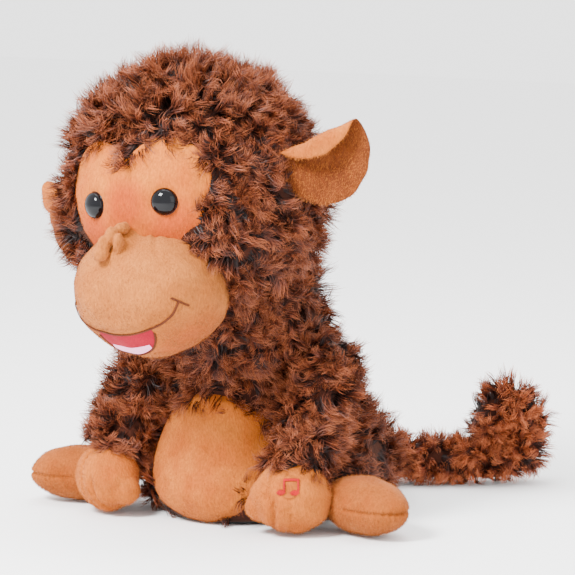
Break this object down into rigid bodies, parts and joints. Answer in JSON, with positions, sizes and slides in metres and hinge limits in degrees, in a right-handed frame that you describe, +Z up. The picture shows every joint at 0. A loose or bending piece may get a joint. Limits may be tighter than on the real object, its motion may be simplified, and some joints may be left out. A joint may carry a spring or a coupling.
{
  "type": "animated plush monkey",
  "caption": "Sitting shaggy plush monkey with a bare muzzle, cupped ears, curled tail, a press switch in one hand and a motor drive that lifts its arms and rocks its head.",
  "frame": {"origin": "underside of the base, below the torso, at the foot of its middle axis", "axes": "+Z up; the monkey faces -Y; its left side is +X"},
  "size_m": [0.2662, 0.3238, 0.2786],
  "materials": {
    "fur": "shaggy pile",
    "plush": "short pile",
    "stuffing": "loose fibre",
    "mouth_cloth": "short pile",
    "tongue_cloth": "short pile",
    "brown_thread": "stitched",
    "red_thread": "stitched",
    "eye_plastic": "polished",
    "washer_plastic": "satin",
    "base_plastic": "fine texture",
    "gearbox_plastic": "satin",
    "gear_plastic": "satin",
    "link_plastic": "satin",
    "cell_jacket": "gloss",
    "spring_steel": "bright",
    "shaft_steel": "ground",
    "motor_steel": "bright",
    "belt_rubber": "matte",
    "speaker_metal": "satin",
    "speaker_paper": "matte",
    "board_laminate": "satin",
    "component_plastic": "satin",
    "wire_sheath": "satin"
  },
  "bodies": {
    "torso": {"body_cover": "fur", "belly_panel": "plush", "body_stuffing": "stuffing", "base_plate": "base_plastic", "battery_box": "base_plastic", "battery_cells": "cell_jacket", "battery_contacts": "spring_steel", "power_switch_body": "component_plastic", "gearbox_left": "gearbox_plastic", "gearbox_right": "gearbox_plastic", "gearbox_screws": "shaft_steel", "gear_axles": "shaft_steel", "motor": "motor_steel", "drive_belt": "belt_rubber", "neck_post": "link_plastic", "neck_pin": "shaft_steel", "shaft_brackets": "link_plastic", "foot_left": "plush", "foot_right": "plush", "tail": "fur", "tail_curl": "fur", "speaker_frame": "speaker_metal", "speaker_cone": "speaker_paper", "circuit_board": "board_laminate", "board_components": "component_plastic", "wire_harness": "wire_sheath"},
    "arms": {"arm_shaft": "shaft_steel", "sleeve_left": "fur", "sleeve_right": "fur", "arm_rod_left": "link_plastic", "arm_rod_right": "link_plastic", "hand_left": "plush", "hand_right": "plush", "hand_switch": "component_plastic", "hand_lead": "wire_sheath"},
    "hand_press": {"hand_button": "plush", "note_stitching": "red_thread"},
    "arm_link": {"arm_link": "link_plastic"},
    "head": {"head_cover": "fur", "face_panel": "plush", "muzzle": "plush", "nose": "plush", "mouth_patch": "mouth_cloth", "tongue_patch": "tongue_cloth", "smile_stitching": "brown_thread", "eye_left": "eye_plastic", "eye_right": "eye_plastic", "eye_washers": "washer_plastic", "ear_left": "plush", "ear_right": "plush", "head_stuffing": "stuffing", "head_yoke": "link_plastic"},
    "head_link": {"head_link": "link_plastic"},
    "crank": {"crank_gear": "gear_plastic"},
    "idler": {"idler_gear": "gear_plastic"},
    "pulley": {"pulley_gear": "gear_plastic"},
    "rotor": {"motor_pulley": "shaft_steel"},
    "switch_knob": {"power_switch_knob": "base_plastic"},
    "door": {"battery_door": "base_plastic", "door_screw": "shaft_steel"}
  },
  "joints": [
    {"name": "arms_swing", "type": "hinge", "parent": "torso", "child": "arms", "pos_m": [0, -0.025, 0.095], "axis": [-1, 0, 0], "range_deg": [0, 55]},
    {"name": "arm_link_pivot", "type": "hinge", "parent": "arms", "child": "arm_link", "pos_m": [0, -0.011, 0.095], "axis": [-1, 0, 0], "range_deg": [-60, 5]},
    {"name": "hand_press_slide", "type": "slide", "parent": "arms", "child": "hand_press", "axis": [-0.4609, 0.8016, -0.3808], "range_m": [0, 0.0015], "stiffness_N_per_m": 600, "springref_m": -0.0005},
    {"name": "head_sway", "type": "hinge", "parent": "torso", "child": "head", "pos_m": [0, -0.035, 0.122], "axis": [0, 1, 0], "range_deg": [-8, 14]},
    {"name": "head_link_pivot", "type": "hinge", "parent": "head", "child": "head_link", "pos_m": [-0.01989, -0.045, 0.11991], "axis": [0, 1, 0], "range_deg": [-16, 10]},
    {"name": "crank_spin", "type": "hinge", "parent": "torso", "child": "crank", "pos_m": [0, -0.0132, 0.0714], "axis": [1, 0, 0], "continuous": true},
    {"name": "idler_spin", "type": "hinge", "parent": "torso", "child": "idler", "pos_m": [0, 0.0036, 0.0588], "axis": [1, 0, 0], "continuous": true},
    {"name": "pulley_spin", "type": "hinge", "parent": "torso", "child": "pulley", "pos_m": [0, -0.009, 0.042], "axis": [1, 0, 0], "continuous": true},
    {"name": "motor_spin", "type": "hinge", "parent": "torso", "child": "rotor", "pos_m": [0, 0.0188, 0.0347], "axis": [1, 0, 0], "continuous": true},
    {"name": "power_switch_slide", "type": "slide", "parent": "torso", "child": "switch_knob", "axis": [1, 0, 0], "range_m": [0, 0.006]},
    {"name": "battery_door_slide", "type": "slide", "parent": "torso", "child": "door", "axis": [0, 0, -1], "range_m": [0, 0.012]}
  ],
  "couplings": [
    {"joint": "arm_link_pivot", "follows": "arms_swing", "ratio": -1},
    {"joint": "head_link_pivot", "follows": "head_sway", "ratio": -1},
    {"joint": "pulley_spin", "follows": "motor_spin", "ratio": 0.36929},
    {"joint": "idler_spin", "follows": "motor_spin", "ratio": -0.092324},
    {"joint": "crank_spin", "follows": "motor_spin", "ratio": 0.023081}
  ]
}
